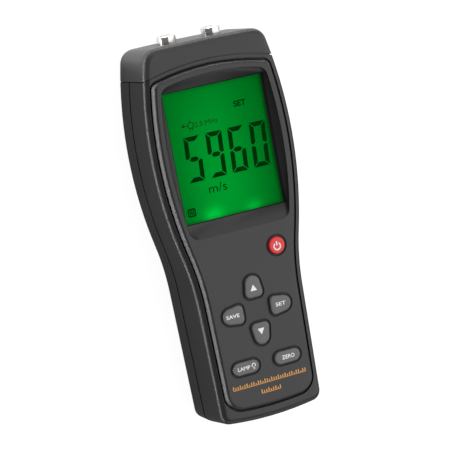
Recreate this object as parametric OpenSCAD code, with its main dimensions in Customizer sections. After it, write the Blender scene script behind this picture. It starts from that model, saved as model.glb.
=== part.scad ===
// Handheld ultrasonic thickness gauge, lying on its back.
// +X is to the right of the display, +Y runs up the case to the probe sockets, +Z leaves the display.
// The origin is under the middle of the whole length, on the surface that the back lies on.

/* [Case] */
// Length of the case without the sockets
case_l = 183.7; // [177:0.1:191]
// Width of the case at its widest point
case_w = 72.6; // [70:0.2:78]
// Height of the case from its back to the rim round the panel
case_h = 34.7; // [33.5:0.1:38]
// Height of the rear shell up to the parting line
rear_h = 15.2; // [14.4:0.1:17]
// Wall of the shells and of the cap
wall = 2.2; // [1.8:0.1:2.6]
// Fillet round the front edge
front_fillet = 3.2; // [2.4:0.1:4]
// Fillet round the back edge
rear_fillet = 3.2; // [2.6:0.1:4]
// Bevel of the front shell's edge at the parting line
parting_bevel = 0.35; // [0.2:0.05:0.6]
// Open groove in the rear shell along the parting line
parting_gap = 0.9; // [0.5:0.1:1.2]
// Depth of that groove
parting_depth = 0.9; // [0.5:0.1:1.1]

/* [Outline] */
// Distance from the top end down to the widest point
wide_drop = 50.8; // [46:0.2:56]
// Radius of the long bulge beside the display
bulge_r = 205; // [190:5:230]
// Radius of the hollow waist below the display
waist_r = 120; // [100:5:150]
// Half width of the grip at its lower end, along the front edge
grip_half_w = 26.4; // [26:0.1:28]
// Taper of the straight sides of the grip, in degrees
grip_taper = 1.2; // [0.6:0.1:2]
// How far the grip and the bottom end flare out from the front edge to the parting line
flare = 1.2; // [0.4:0.1:2]
// Radius of the slightly crowned top edge
crown_r = 900; // [600:50:1500]
// Radius of the corners at the top end
top_corner = 7.2; // [6:0.1:10]
// Radius of the crowned bottom edge
base_r = 160; // [130:5:220]
// Radius of the corners at the bottom end
base_corner = 5; // [4.8:0.1:8]

/* [Cap] */
// Distance from the top end down to the top of the seam's arch
seam_drop = 9.8; // [8.6:0.1:12]
// Radius of the seam's arch
seam_r = 115; // [100:5:140]
// Open groove between the cap and the shells
seam_gap = 0.6; // [0.3:0.05:0.9]
// Depth of that groove
groove_depth = 0.8; // [0.5:0.1:1.2]
// How far the cap's spigot reaches into the shells
spigot_l = 3; // [2:0.2:4]
// Thickness of the spigot
spigot_t = 1.5; // [1.2:0.1:1.8]

/* [Panel] */
// How far the panel stands above the rim of the case
panel_rise = 2.3; // [1.6:0.1:3]
// Distance of the panel from the side of the case
panel_inset = 3.4; // [3:0.1:4]
// Width of the rim left between the seam and the panel
panel_lip = 2; // [1.6:0.1:2.6]
// Distance of the panel from the bottom edge of the case
panel_base_inset = 6.3; // [5.6:0.1:8]
// Radius of the panel's upper corners
panel_top_corner = 4.5; // [3.6:0.1:6]
// Radius of the panel's lower corners
panel_base_corner = 8.5; // [7:0.5:10]
// Open groove round the panel
panel_gap = 0.65; // [0.3:0.05:0.8]
// Depth of the panel's seat below the rim of the case
panel_seat = 1.7; // [1.4:0.1:2.2]
// Thickness of the ledge that the panel sits on
ledge_t = 1.3; // [1.1:0.1:1.6]
// Width of the ledge inside the edge of the panel
ledge_w = 4.2; // [3.4:0.1:4.4]
// Thickness of the panel over the keys
panel_t = 2; // [1.6:0.1:2.4]
// Thickness of the panel's skirt
skirt_t = 1.6; // [1.2:0.1:2]
// Width of the bevel round the panel
bevel_w = 2.1; // [1.6:0.1:2.6]
// Height of the bevel round the panel
bevel_h = 2.6; // [2:0.1:2.8]

/* [Display] */
// Distance of the visible display from the widest part of the sides
lcd_side = 11.3; // [10.6:0.1:13]
// Distance from the top end down to the visible display
lcd_drop = 21.7; // [20.6:0.1:24]
// Distance from the bottom end up to the visible display
lcd_rise = 100.4; // [97:0.1:103]
// Flat border between the panel's bevel and the display pocket
pocket_border = 1.7; // [1.2:0.1:2]
// Length of the ramp below the display
ramp_l = 7.5; // [5:0.5:9]
// Radius of the pocket's lower corners
pocket_corner = 5; // [3:0.5:6]
// Overlap of the window behind the pocket's edge
window_lap = 2; // [1.4:0.1:2.4]
// Thickness of the window
window_t = 1.5; // [1:0.1:2]
// Thickness of the liquid crystal cell
cell_t = 2.8; // [2:0.1:3.2]
// Thickness of the backlight
backlight_t = 4.3; // [3.5:0.1:5]
// Wall of the frame round the display
frame_t = 1.1; // [0.9:0.1:1.2]
// Width of the contact strip along the lower edge of the display
strip_w = 2.4; // [1.8:0.1:3]

/* [Keys] */
// Travel of every key
key_travel = 0.8; // [0.5:0.1:1]
// How far the keys stand above the panel
key_rise = 0.9; // [0.4:0.1:1.4]
// Width of the dark collar round each key
collar_w = 1.1; // [0.9:0.05:1.4]
// How far the collars lie below the face of the panel
collar_sink = 0.5; // [0.2:0.1:0.8]
// Clearance round each key
key_fit = 0.15; // [0.1:0.05:0.25]
// Height of the rounded crown of each key
key_crown = 0.8; // [0.5:0.1:1]
// Width of the flange that keeps each key under the mat
flange_w = 0.8; // [0.6:0.1:1]
// Thickness of that flange
flange_t = 1.2; // [0.8:0.1:1.4]
// Diameter of the power key
power_d = 8.2; // [7:0.1:9]
// Distance of the power key from the widest part of the sides
power_side = 20.5; // [19:0.1:22]
// Distance from the display down to the power key
power_drop = 18.7; // [16:0.1:21]
// Distance from the display down to the middle of the four shield keys
cross_drop = 46.3; // [44:0.1:48]
// Distance of the upper and lower shield keys from that middle
cross_y = 11.4; // [11:0.1:12.4]
// Distance of the left and right shield keys from that middle
cross_x = 12.3; // [11.6:0.1:12.8]
// Width of a shield key
shield_w = 9; // [8:0.1:9.4]
// Length of a shield key
shield_l = 10.5; // [9.6:0.1:11]
// Radius of the outer end of a shield key
shield_tip = 3.8; // [3.2:0.1:4]
// Radius of the two inner corners of a shield key
shield_corner = 2.3; // [1.6:0.1:2.6]
// Distance from the shield keys' middle down to the pair of long keys
pair_drop = 25.5; // [24.6:0.1:27]
// Distance of each long key from the middle
pair_x = 10.8; // [9.6:0.1:11]
// Length of a long key
long_l = 13.4; // [12:0.1:13.6]
// Width of a long key
long_w = 6.1; // [5:0.1:6.6]

/* [Circuit board] */
// Thickness of the board
board_t = 1.6; // [1:0.1:2]
// Distance of the board from the walls
board_fit = 1; // [0.6:0.1:1.4]
// Distance from the bottom end up to the board
board_base = 15; // [14.4:0.2:17]
// Distance from the top end down to the board
board_drop = 17.5; // [16.6:0.1:19]
// Side of a key switch
switch_w = 6; // [5:0.5:6.5]
// Height of a key switch with its plunger
switch_h = 5; // [4.3:0.1:5.2]
// Diameter of a switch plunger
plunger_d = 3.4; // [2.4:0.1:3.6]
// Height of a switch plunger
plunger_h = 1.5; // [1:0.1:2]
// Side of the processor
chip_w = 14; // [10:1:18]
// Height of the processor
chip_h = 1.6; // [1:0.1:2]
// Side of the pulse transformer
transformer_w = 10; // [8:0.5:12]
// Distance of the pulse transformer from the widest part of the sides
transformer_side = 15; // [14:0.5:18]
// Height of the pulse transformer
transformer_h = 6; // [4:0.5:7]
// Length of the crystal's can
crystal_l = 11; // [9:0.5:12]
// Width of the crystal's can
crystal_w = 4.6; // [4:0.1:5]
// Height of the crystal's can
crystal_h = 3.5; // [3:0.1:4]
// Diameter of a capacitor
capacitor_d = 6.3; // [5:0.1:7]
// Space between two capacitors
capacitor_gap = 2.4; // [1:0.2:3]
// Height of a capacitor
capacitor_h = 6.8; // [5:0.1:7.2]

/* [Sockets] */
// Distance between the two probe sockets
socket_pitch = 22.6; // [20:0.1:25]
// Distance of the sockets' axes below the board
lead_rise = 7; // [5:0.1:8]
// How far the sockets stand out of the cap
socket_reach = 3.5; // [3:0.1:5]
// Outer diameter of a socket
socket_d = 9.4; // [8.6:0.1:10.4]
// Chamfer round the mouth of a socket
chamfer = 0.5; // [0.3:0.1:0.8]
// Diameter of a socket's bore
bore_d = 5.2; // [4.6:0.1:5.6]
// Depth of a socket's bore
bore_l = 7; // [6:0.1:8]
// Diameter of a socket's threaded shank
shank_d = 7.4; // [7:0.1:8]
// Length of a socket's threaded shank
shank_l = 8; // [7:0.1:9]
// Thickness of a socket's nut
nut_t = 2.2; // [1.8:0.1:2.6]
// Width of a nut across its flats
nut_w = 10; // [9.4:0.1:11]
// Diameter of a socket's insulator
insulator_d = 3.6; // [3:0.1:4]
// Diameter of a socket's centre contact
contact_d = 1; // [0.8:0.1:1.4]
// How far the contact reaches out behind the insulator
contact_tail = 1.6; // [1.2:0.1:2]
// Diameter of a socket's lead
lead_d = 2.2; // [1.8:0.1:2.6]
// Share of a lead's rise that its bend takes
lead_bend = 0.6; // [0.5:0.05:0.7]

/* [Battery] */
// Diameter of a battery cell
battery_d = 10.5; // [10:0.1:10.8]
// Length of a battery cell with its button
battery_l = 44.5; // [43:0.1:45.5]
// Diameter of the button
button_d = 3.8; // [3:0.1:4.4]
// Length of the button
button_l = 1; // [0.8:0.1:1.4]
// Space between two cells
battery_gap = 0.4; // [0.3:0.1:0.6]
// Length of a contact spring
spring_l = 4.4; // [4:0.1:5]
// Diameter of a spring at its foot
spring_foot_d = 7.6; // [6:0.2:8.4]
// Diameter of a spring at its tip
spring_tip_d = 4.2; // [3:0.2:5]
// Diameter of the spring wire
wire_d = 0.7; // [0.5:0.05:0.8]
// Side of a contact plate
plate_w = 8.4; // [7:0.2:9]
// Thickness of a contact plate
plate_t = 0.5; // [0.3:0.1:0.8]
// Wall of the battery bay
bay_wall = 1.4; // [1.2:0.1:1.6]
// Distance from the bottom end up to the battery bay
bay_base = 17; // [16.4:0.2:19]
// Thickness of the battery door
door_t = 2.2; // [1.8:0.1:2.4]
// Clearance round the battery door
door_fit = 0.15; // [0.1:0.05:0.25]
// How far the door covers the sides of the bay
door_edge = 0.4; // [0.3:0.1:0.5]
// Reach of the door's tongues into their grooves
tongue_w = 0.8; // [0.6:0.1:0.9]
// Thickness of the door's tongues
tongue_t = 0.5; // [0.4:0.05:0.6]
// Height of the tongues above the back
tongue_z = 1.15; // [1.1:0.05:1.25]
// How far the door covers the case above the bay
door_lap = 3; // [2:0.5:5]
// Number of grip grooves in the door
grip_count = 5; // [3:1:7]
// Spacing of the grip grooves
grip_pitch = 2.2; // [1.8:0.1:2.6]
// Radius of the grip grooves
groove_r = 1.2; // [1:0.1:1.6]
// Depth of the grip grooves
grip_depth = 0.5; // [0.3:0.1:0.7]

/* [Screws] */
// Diameter of a case screw
screw_d = 2.9; // [2.4:0.1:3.2]
// Diameter of a case screw's head
head_d = 5.4; // [4.8:0.1:5.8]
// Height of a case screw's head
head_h = 1.8; // [1.4:0.1:2.2]
// Width of the cross cut in the screw heads
slot_w = 0.8; // [0.6:0.1:1]
// Depth of the heads below the face that they are driven from
head_sink = 0.5; // [0.3:0.1:0.8]
// How far the case screws reach into the front shell
screw_bite = 9; // [6:0.5:11]
// Distance of the upper case screws from the middle
upper_screw_x = 24; // [23:0.2:24.6]
// Distance from the display down to the upper case screws
upper_screw_drop = 13; // [11:0.2:15]
// Distance of the lower case screws from the middle
lower_screw_x = 16; // [14:0.5:17]
// Distance from the bottom end up to the lower case screws
lower_screw_y = 10.6; // [10:0.1:11]
// Wall of the screw bosses in the front shell
boss_wall = 1.5; // [1.2:0.1:1.8]
// Wall round the wells of the screw heads in the rear shell
well_wall = 0.8; // [0.6:0.1:1]
// Diameter of a board screw
board_screw_d = 2.2; // [1.8:0.1:2.4]
// Diameter of a board screw's head
board_head_d = 4; // [3.6:0.1:4.4]
// Height of a board screw's head
board_head_h = 1.3; // [1:0.1:1.6]
// How far the board screws reach into the front shell
board_bite = 5; // [4:0.5:6]
// Wall of the bosses that hold the board
board_boss_wall = 1.1; // [0.8:0.1:1.2]
// Distance of the upper board screws below the widest point
upper_board_drop = 10; // [6:0.5:14]
// Distance from the edge of the board up to the lower bosses
lower_board_rise = 1.6; // [1.2:0.1:2]

/* [Hidden] */
$fn = 48;

// Clearance of pieces that slide together
fit = 0.15;
// Clearance of a screw in its thread
thread_fit = 0.05;
// Depth by which a cut passes through a face
over = 1;
// Steps along each round stretch of an outline
end_steps = 4;
corner_steps = 8;
bulge_steps = 18;
waist_steps = 10;
key_steps = 10;
fillet_steps = 5;
seam_steps = 180;
// Rises and insets of the rounded edges of the panel and of the keys, as shares of the whole
bevel_steps = [[0, 0], [0.58, 0.36], [0.85, 0.6], [0.96, 0.79], [1, 1]];
crown_steps = [[0.4, 0], [0.78, 0.3], [1, 1]];

// Levels along the case
top_y = (case_l - socket_reach) / 2;
base_y = top_y - case_l;
bottom_y = base_y + flare;
wide_y = top_y - wide_drop;
seam_y = top_y - seam_drop;
lcd_top = top_y - lcd_drop;
lcd_bottom = base_y + lcd_rise;
lcd_w = case_w - 2 * lcd_side;
lcd_h = lcd_top - lcd_bottom;
lcd_y = (lcd_top + lcd_bottom) / 2;
frame_half = lcd_w / 2 + window_lap;
frame_high = lcd_top + window_lap;
frame_low = lcd_bottom - window_lap - strip_w;
strip_top = frame_low + frame_t + fit + strip_w;
cross_mid = lcd_bottom - cross_drop;
bay_y = bottom_y + bay_base;

// Levels above the back
panel_z = case_h + panel_rise;
seat_z = case_h - panel_seat;
ledge_z = seat_z - ledge_t;
cell_z = seat_z - window_t - cell_t;
board_z = cell_z - backlight_t - board_t;
board_top = board_z + board_t;
socket_z = board_z - lead_rise;
mat_top = panel_z - panel_t;
flange_z = seat_z - fit - flange_t;
stem_z = board_top + switch_h + key_travel + fit;
body_z = flange_z + flange_t / 2;
body_h = panel_z + key_rise - body_z;
slot_z = door_t + door_fit;
battery_z = slot_z + fit + battery_d / 2;
roof_z = battery_z + battery_d / 2 + fit;

// Plan outline of the case, as tangent arcs and one straight stretch on each side
bulge_c = [case_w / 2 - bulge_r, wide_y];
crown_c = [0, top_y - crown_r];
seam_c = [0, seam_y - seam_r];
grip_n = [cos(grip_taper), -sin(grip_taper)];
grip_d = [-sin(grip_taper), -cos(grip_taper)];

// Point where a line first leaves a circle, going along the line
function meet_line(p, d, c, r) =
    let (b = (p - c) * d, q = (p - c) * (p - c) - r * r)
    p + (sqrt(b * b - q) - b) * d;

// Upper point where two circles meet
function meet_circles(c, r, d, s) =
    let (l = norm(d - c), a = (l * l + r * r - s * s) / (2 * l), u = (d - c) / l)
    c + a * u + sqrt(r * r - a * a) * [-u.y, u.x];

function angle_of(v) = atan2(v.y, v.x);

function arc(c, r, a, b, n, first = 1) =
    [for (i = [first:n]) c + r * [cos(a + (b - a) * i / n), sin(a + (b - a) * i / n)]];

// Right half of an outline from its top to its bottom, shrunk all round by o and flared at the grip by lean
function half_outline(o, lean, side, end_c, end_r, top_corner, base_in, base_corner) =
    let (
        bulge = bulge_r - side,
        base = base_r - base_in,
        grip = [grip_half_w + lean, bottom_y + base_corner],
        base_c = [0, bottom_y - lean + base_r],
        waist_c = meet_line(grip + waist_r * grip_n, grip_d, bulge_c, bulge_r + waist_r),
        k = meet_circles(bulge_c, bulge - top_corner, end_c, end_r - top_corner),
        m = meet_line(grip - (side + base_corner) * grip_n, grip_d, base_c, base - base_corner),
        a_end = angle_of(k - end_c),
        a_top = angle_of(k - bulge_c),
        a_waist = angle_of(waist_c - bulge_c),
        a_base = angle_of(m - base_c)
    )
    concat(
        arc(end_c, end_r - o, 90, a_end, end_steps, 0),
        arc(k, top_corner - o, a_end, a_top, corner_steps),
        arc(bulge_c, bulge - o, a_top, a_waist, bulge_steps),
        arc(waist_c, waist_r + side + o, a_waist + 180, 180 - grip_taper, waist_steps),
        arc(m, base_corner - o, -grip_taper, a_base, corner_steps, 0),
        arc(base_c, base - o, a_base, -90, end_steps)
    );

function whole(half) =
    concat(half, [for (i = [len(half) - 2:-1:1]) [-half[i].x, half[i].y]]);

function case_outline(o, lean) =
    whole(half_outline(o, lean, 0, crown_c, crown_r, top_corner, 0, base_corner));

function panel_outline(o) =
    whole(half_outline(
        o, 0, panel_inset, seam_c, seam_r - panel_lip, panel_top_corner, panel_base_inset, panel_base_corner
    ));

// Flare of the case at a height above its back
function lean_at(z) =
    let (front_z = case_h - front_fillet)
    flare * max(0, min(1, (front_z - z) / (front_z - rear_h)));

// Heights and insets of the rings that round the two edges of the case, at a depth under its skin
function front_rings(depth = 0) =
    [for (i = [0:fillet_steps]) let (a = 90 * i / fillet_steps, r = front_fillet - depth)
        [case_h - front_fillet + r * sin(a), front_fillet - r * cos(a)]];

function rear_rings(depth = 0) =
    [for (i = [0:fillet_steps]) let (a = 90 - 90 * i / fillet_steps, r = rear_fillet - depth)
        [rear_fillet - r * sin(a), rear_fillet - r * cos(a)]];

// Solid through a stack of outlines, each given as [height, outline]
module loft(stack) {
    n = len(stack[0][1]);
    half = n / 2;
    last = (len(stack) - 1) * n;
    points = [for (s = stack, p = s[1]) [p.x, p.y, s[0]]];
    sides = [for (k = [0:len(stack) - 2], j = [0:n - 1]) let (i = (j + 1) % n)
        [k * n + j, k * n + i, (k + 1) * n + i, (k + 1) * n + j]];
    strips = [for (i = [1:half - 2]) [i, i + 1, n - i - 1, n - i]];
    ends = [[0, 1, n - 1], [half - 1, half, half + 1]];
    caps = concat(strips, ends);
    bottoms = [for (f = caps) [for (i = [len(f) - 1:-1:0]) f[i]]];
    tops = [for (f = caps) [for (i = f) i + last]];
    polyhedron(points, concat(bottoms, sides, tops), convexity = 8);
}

// Solid of the case through rings given as [height, inset]
module case_loft(rings) {
    loft([for (r = rings) [r[0], case_outline(r[1], lean_at(r[0]))]]);
}

module prism(outline, z0, z1) {
    translate([0, 0, z0]) linear_extrude(z1 - z0) polygon(outline);
}

// Everything below the arch of the seam, moved down by drop
module below_seam(drop) {
    translate([0, seam_c.y - drop, -over]) cylinder(r = seam_r, h = panel_z + 2 * over, $fn = seam_steps);
}

module at(points) {
    for (p = points) translate(p) children();
}

// Points on both sides of the middle
function both(x, y, z = 0) = [[x, y, z], [-x, y, z]];

// Places of the fasteners
upper_screws = both(upper_screw_x, lcd_bottom - upper_screw_drop);
lower_screws = both(lower_screw_x, bottom_y + lower_screw_y);
boss_r = screw_d / 2 + boss_wall;
well_r = head_d / 2 + 2 * fit;
notch_r = boss_r + board_fit / 2;
upper_head_z = head_sink + head_h;
lower_head_z = slot_z + head_sink + head_h;
board_boss_r = board_screw_d / 2 + board_boss_wall;
upper_board_x = case_w / 2 - panel_inset - board_boss_r - fit;
upper_board_y = wide_y - upper_board_drop;
lower_board_x = grip_half_w - panel_inset - board_boss_r - 4 * fit;
lower_board_y = bottom_y + board_base + board_boss_r + lower_board_rise;
board_screws_at = concat(both(upper_board_x, upper_board_y), both(lower_board_x, lower_board_y));

// Places of the keys, as [x, y, turn]
up_at = [0, cross_mid + cross_y, 0];
down_at = [0, cross_mid - cross_y, 180];
left_at = [-cross_x, cross_mid, 90];
right_at = [cross_x, cross_mid, -90];
light_at = [-pair_x, cross_mid - pair_drop, 0];
zero_at = [pair_x, cross_mid - pair_drop, 0];
power_at = [case_w / 2 - power_side, lcd_bottom - power_drop, 0];
shield_keys = [up_at, down_at, left_at, right_at];
long_keys = [light_at, zero_at];

module place(p) {
    translate([p.x, p.y]) rotate(p.z) children();
}

// Outlines of the keys, grown all round by o
module shield_2d(o) {
    tip = [0, shield_l / 2 - shield_tip];
    corner = [shield_w / 2 - shield_corner, shield_corner - shield_l / 2];
    lean = tip - corner;
    turn = angle_of(lean) - acos((shield_corner - shield_tip) / norm(lean));
    half = concat(
        arc(tip, shield_tip + o, 90, turn, key_steps, 0),
        arc(corner, shield_corner + o, turn, -90, key_steps, 0)
    );
    polygon(concat(half, [for (i = [len(half) - 1:-1:1]) [-half[i].x, half[i].y]]));
}

module long_2d(o) {
    straight = long_l - long_w;
    union() {
        square([straight, long_w + 2 * o], center = true);
        translate([straight / 2, 0]) circle(long_w / 2 + o);
        translate([-straight / 2, 0]) circle(long_w / 2 + o);
    }
}

module keys_2d(o) {
    for (p = shield_keys) place(p) shield_2d(o);
    for (p = long_keys) place(p) long_2d(o);
    place(power_at) circle(power_d / 2 + o);
}

// Battery bay, seen from the back
battery_pitch = battery_d + battery_gap;
bay_half = 2 * battery_pitch + fit;
bay_l = battery_l + spring_l + plate_t + fit;
door_half = bay_half + door_edge;
door_y = bay_y + bay_l + door_lap;
tongue_y = base_y - over;

// Space of the door and its tongues, grown all round by o
module door_form(o) {
    translate([-door_half - o, tongue_y, -over])
        cube([2 * (door_half + o), door_y + o - tongue_y, slot_z - door_fit + o + over]);
    translate([-door_half - tongue_w - o, tongue_y, tongue_z - o])
        cube([2 * (door_half + tongue_w + o), door_y + o - tongue_y, tongue_t + 2 * o]);
}

module rear_form() {
    groove_z = rear_h - parting_gap;
    case_loft(concat(
        rear_rings(),
        [[groove_z, 0], [groove_z, parting_depth], [rear_h, parting_depth]]
    ));
}

module rear_shell() {
    color("#2f3032")
    difference() {
        union() {
            difference() {
                rear_form();
                prism(case_outline(wall, flare), wall, rear_h + over);
            }
            intersection() {
                translate([-bay_half - bay_wall, bay_y - bay_wall, slot_z - door_fit])
                    cube([2 * (bay_half + bay_wall), bay_l + 2 * bay_wall, roof_z + bay_wall - door_t]);
                prism(case_outline(wall / 2, flare), 0, rear_h + battery_d);
            }
            intersection() {
                translate([-bay_half - bay_wall, base_y, door_t])
                    cube([2 * (bay_half + bay_wall), flare + bay_base, door_fit + bay_wall]);
                prism(case_outline(wall / 2, flare), 0, rear_h);
            }
            at(upper_screws)
                translate([0, 0, wall / 2]) cylinder(r = well_r + well_wall, h = rear_h - wall / 2);
            at(lower_screws) translate([0, 0, slot_z]) cylinder(r = well_r + well_wall, h = rear_h - slot_z);
        }
        translate([-bay_half, bay_y, -over]) cube([2 * bay_half, bay_l, roof_z + over]);
        door_form(door_fit);
        at(concat(upper_screws, lower_screws))
            translate([0, 0, -over]) cylinder(d = screw_d + 2 * fit, h = rear_h + 2 * over);
        at(upper_screws) translate([0, 0, -over]) cylinder(r = well_r, h = upper_head_z + over);
        at(lower_screws) translate([0, 0, -over]) cylinder(r = well_r, h = lower_head_z + over);
        difference() {
            translate([-case_w, seam_y - seam_drop, -over]) cube([2 * case_w, case_l, case_h + 2 * over]);
            below_seam(0);
        }
    }
}

module front_shell() {
    color("#323335")
    difference() {
        union() {
            difference() {
                case_loft(concat([[rear_h, parting_bevel], [rear_h + parting_bevel, 0]], front_rings()));
                loft([
                    [rear_h - over, case_outline(wall, flare)],
                    [rear_h, case_outline(wall, flare)],
                    [ledge_z, case_outline(wall, 0)]
                ]);
            }
            at(concat(upper_screws, lower_screws))
                translate([0, 0, rear_h]) cylinder(r = boss_r, h = seat_z - rear_h - wall / 4);
            at(board_screws_at)
                translate([0, 0, board_top]) cylinder(r = board_boss_r, h = seat_z - board_top - wall / 4);
        }
        prism(panel_outline(-panel_gap), seat_z, panel_z);
        prism(panel_outline(ledge_w), ledge_z - over, panel_z);
        frame_box(-fit, ledge_z - over, panel_z);
        at(concat(upper_screws, lower_screws))
            translate([0, 0, rear_h - over])
                cylinder(d = screw_d + 2 * thread_fit, h = screw_bite + 2 * over);
        at(board_screws_at)
            translate([0, 0, board_top - over])
                cylinder(d = board_screw_d + 2 * thread_fit, h = board_bite + 2 * over);
        difference() {
            translate([-case_w, seam_y - seam_drop, 0]) cube([2 * case_w, case_l, panel_z]);
            below_seam(0);
        }
    }
}

module top_cap() {
    band = spigot_l + seam_gap;
    inner = wall + fit + spigot_t;
    sockets_at = both(socket_pitch / 2, top_y, socket_z);
    color("#3a3b3d")
    difference() {
        union() {
            difference() {
                case_loft(concat(rear_rings(), front_rings()));
                below_seam(-seam_gap);
            }
            difference() {
                intersection() {
                    prism(case_outline(wall + fit, 0), wall + fit, ledge_z - fit);
                    below_seam(-band);
                }
                below_seam(spigot_l);
            }
            difference() {
                intersection() {
                    case_loft(concat(rear_rings(groove_depth), front_rings(groove_depth)));
                    below_seam(-band);
                }
                below_seam(0);
            }
        }
        intersection() {
            prism(case_outline(inner, 0), inner, ledge_z - fit - spigot_t);
            below_seam(-band);
        }
        difference() {
            prism(case_outline(wall, 0), wall, case_h - wall);
            below_seam(-band);
        }
        at(sockets_at)
            rotate([90, 0, 0]) translate([0, 0, -over]) cylinder(d = shank_d + 2 * fit, h = wall + 2 * over);
    }
}

// Recess that slopes from the face of the panel down to the display
module pocket() {
    low = lcd_bottom - ramp_l;
    hull() {
        translate([0, 0, panel_z])
            linear_extrude(over)
                offset(r = pocket_corner, $fn = 32)
                    offset(delta = -pocket_corner)
                        intersection() {
                            polygon(panel_outline(bevel_w + pocket_border));
                            translate([-case_w / 2, low]) square([case_w, top_y - low]);
                        }
        translate([-lcd_w / 2, lcd_bottom, seat_z]) cube([lcd_w, lcd_h, over]);
    }
    translate([-lcd_w / 2, lcd_bottom, seat_z - over]) cube([lcd_w, lcd_h, 2 * over]);
}

module front_panel() {
    bevel_z = panel_z - bevel_h;
    hollow_top = lcd_bottom - ramp_l - skirt_t;
    color("#4a4b4d")
    difference() {
        loft(concat(
            [[seat_z, panel_outline(0)]],
            [for (b = bevel_steps) [bevel_z + bevel_h * b[0], panel_outline(bevel_w * b[1])]]
        ));
        intersection() {
            prism(panel_outline(bevel_w), seat_z - over, mat_top);
            translate([-case_w / 2, bottom_y, seat_z - over])
                cube([case_w, hollow_top - bottom_y, panel_z]);
        }
        pocket();
        translate([0, 0, seat_z]) linear_extrude(panel_z) keys_2d(key_fit + collar_w);
    }
}

// Box from the lower left corner of the display's frame, shrunk all round by o
module frame_box(o, z0, z1) {
    translate([-frame_half + o, frame_low + o, z0])
        cube([2 * (frame_half - o), frame_high - frame_low - 2 * o, z1 - z0]);
}

module display_window() {
    color("#20282a", 0.4)
    translate([-frame_half, lcd_bottom - window_lap, seat_z - window_t])
        cube([2 * frame_half, lcd_h + 2 * window_lap, window_t]);
}

module lcd_cell() {
    color("#1f8a3c") frame_box(frame_t + fit, cell_z, cell_z + cell_t);
}

module backlight() {
    color("#dfe8e0")
    intersection() {
        frame_box(frame_t + fit, board_top, cell_z);
        translate([-frame_half, strip_top + fit, 0]) cube([2 * frame_half, lcd_h + case_l, panel_z]);
    }
}

module display_frame() {
    color("#e8e6df")
    difference() {
        frame_box(0, board_top, seat_z - window_t);
        frame_box(frame_t, board_top - over, panel_z);
    }
}

module contact_strip() {
    color("#b9a7c8")
    translate([-lcd_w / 2 + strip_w, strip_top - strip_w, board_top])
        cube([lcd_w - 2 * strip_w, strip_w, backlight_t]);
}

module main_board() {
    low = bottom_y + board_base;
    color("#1e5b34")
    difference() {
        intersection() {
            prism(case_outline(wall + board_fit, 0), board_z, board_top);
            translate([-case_w / 2, low, board_z]) cube([case_w, top_y - board_drop - low, board_t]);
        }
        for (p = upper_screws)
            translate([p.x, p.y, board_z - over]) {
                cylinder(r = notch_r, h = board_t + 2 * over);
                translate([p.x > 0 ? 0 : -case_w, -notch_r, 0])
                    cube([case_w, 2 * notch_r, board_t + 2 * over]);
            }
        at(board_screws_at)
            translate([0, 0, board_z - over]) cylinder(d = board_screw_d + 2 * fit, h = board_t + 2 * over);
    }
}

module under_board(x, y, size) {
    translate([x, y, board_z - size.z / 2]) cube(size, center = true);
}

module processor() {
    color("#1b1b1d") under_board(0, lcd_y, [chip_w, chip_w, chip_h]);
}

module pulse_transformer() {
    x = transformer_side - case_w / 2;
    y = lcd_top - transformer_w;
    color("#54524d") under_board(x, y, [transformer_w, transformer_w, transformer_h]);
}

module crystal() {
    color("#c3c5c7") under_board(chip_w + crystal_w, lcd_y, [crystal_w, crystal_l, crystal_h]);
}

module capacitors() {
    y = lcd_top - transformer_w;
    color("#23264a")
    for (i = [-1:1])
        translate([i * (capacitor_d + capacitor_gap), y, board_z - capacitor_h])
            cylinder(d = capacitor_d, h = capacitor_h);
}

module key_switches() {
    color("#2a2a2c")
    for (p = concat(shield_keys, long_keys, [power_at]))
        translate([p.x, p.y, board_top]) {
            translate([-switch_w / 2, -switch_w / 2, 0]) cube([switch_w, switch_w, switch_h - plunger_h]);
            cylinder(d = plunger_d, h = switch_h);
        }
}

module keypad_mat() {
    hollow_top = lcd_bottom - ramp_l - skirt_t - fit;
    color("#141415")
    difference() {
        union() {
            intersection() {
                prism(panel_outline(bevel_w + fit), seat_z, mat_top);
                translate([-case_w / 2, bottom_y, seat_z])
                    cube([case_w, hollow_top - bottom_y, panel_z]);
            }
            translate([0, 0, seat_z])
                linear_extrude(panel_z - collar_sink - seat_z) keys_2d(key_fit + collar_w - fit / 3);
        }
        translate([0, 0, seat_z - over]) linear_extrude(panel_z) keys_2d(key_fit);
    }
}

// A key on its place: stem over the switch, flange under the mat from the first child, body from the second
module key(p) {
    place(p) {
        translate([0, 0, stem_z]) cylinder(d = plunger_d, h = body_z - stem_z);
        translate([0, 0, flange_z]) linear_extrude(flange_t) children(0);
        translate([0, 0, body_z]) children(1);
    }
}

module shield_key(p) {
    key(p) {
        shield_2d(flange_w);
        hull()
            for (c = crown_steps)
                linear_extrude(body_h - key_crown * (1 - c[0])) shield_2d(-key_crown * c[1]);
    }
}

module long_key(p) {
    key(p) {
        long_2d(flange_w);
        hull()
            for (c = crown_steps)
                linear_extrude(body_h - key_crown * (1 - c[0])) long_2d(-key_crown * c[1]);
    }
}

module power_key() {
    r = power_d / 2;
    color("#d8322f")
    key(power_at) {
        circle(r + flange_w);
        rotate_extrude() union() {
            square([r - key_crown, body_h]);
            square([r, body_h - key_crown]);
            intersection() {
                translate([r - key_crown, body_h - key_crown]) circle(key_crown);
                square([r, body_h]);
            }
        }
    }
}

module up_key() { color("#6e6f72") shield_key(up_at); }
module down_key() { color("#6e6f72") shield_key(down_at); }
module left_key() { color("#6e6f72") shield_key(left_at); }
module right_key() { color("#6e6f72") shield_key(right_at); }
module light_key() { color("#6e6f72") long_key(light_at); }
module zero_key() { color("#6e6f72") long_key(zero_at); }

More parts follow.
